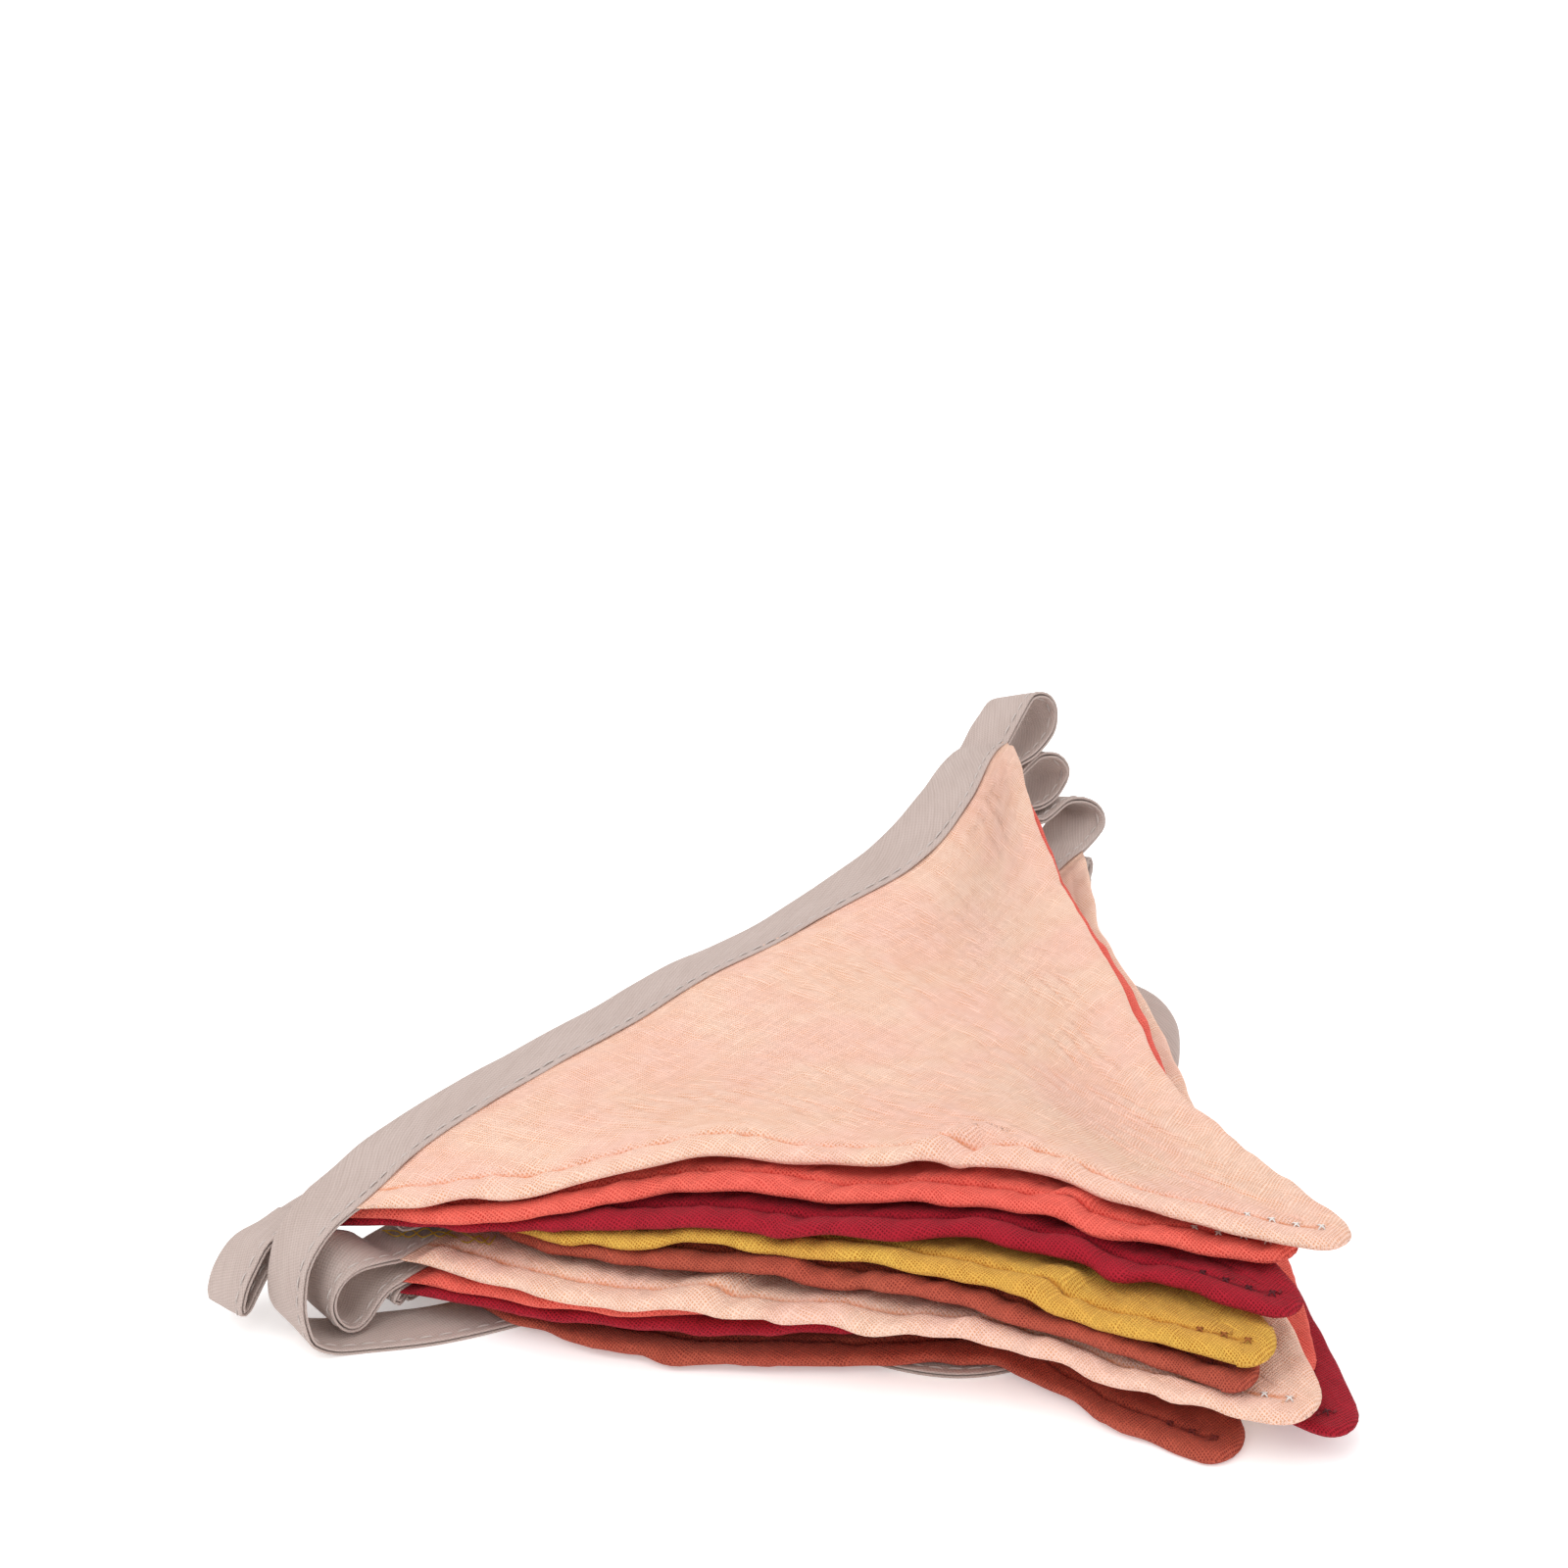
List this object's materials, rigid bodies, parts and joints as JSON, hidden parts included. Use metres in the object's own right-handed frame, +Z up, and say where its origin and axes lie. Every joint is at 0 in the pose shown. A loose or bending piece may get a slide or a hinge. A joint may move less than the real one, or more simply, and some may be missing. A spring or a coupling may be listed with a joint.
{
  "type": "fabric bunting",
  "caption": "String of triangular gauze flags sewn to a folded bias tape, folded back and forth into a loose pile with the tape's ends tucked under it.",
  "frame": {"origin": "a point on the ground under the middle of the pile, on the flat underside of the lowest flag", "axes": "+Z up, away from the surface the pile rests on; +X towards the flags' tips and +Y towards the far end of the taped edge"},
  "size_m": [0.195, 0.2035, 0.0436],
  "materials": {
    "peach": "matt double gauze",
    "coral": "matt double gauze",
    "burgundy": "matt double gauze",
    "mustard": "matt double gauze",
    "rust": "matt double gauze",
    "taupe": "matt plain-weave cotton"
  },
  "bodies": {
    "root": {"flag_01": "rust", "flag_02": "mustard", "flag_03": "burgundy", "flag_04": "coral", "flag_05": "peach", "flag_06": "rust", "flag_07": "mustard", "flag_08": "burgundy", "flag_09": "coral", "flag_10": "peach", "tape": "taupe"}
  },
  "joints": []
}
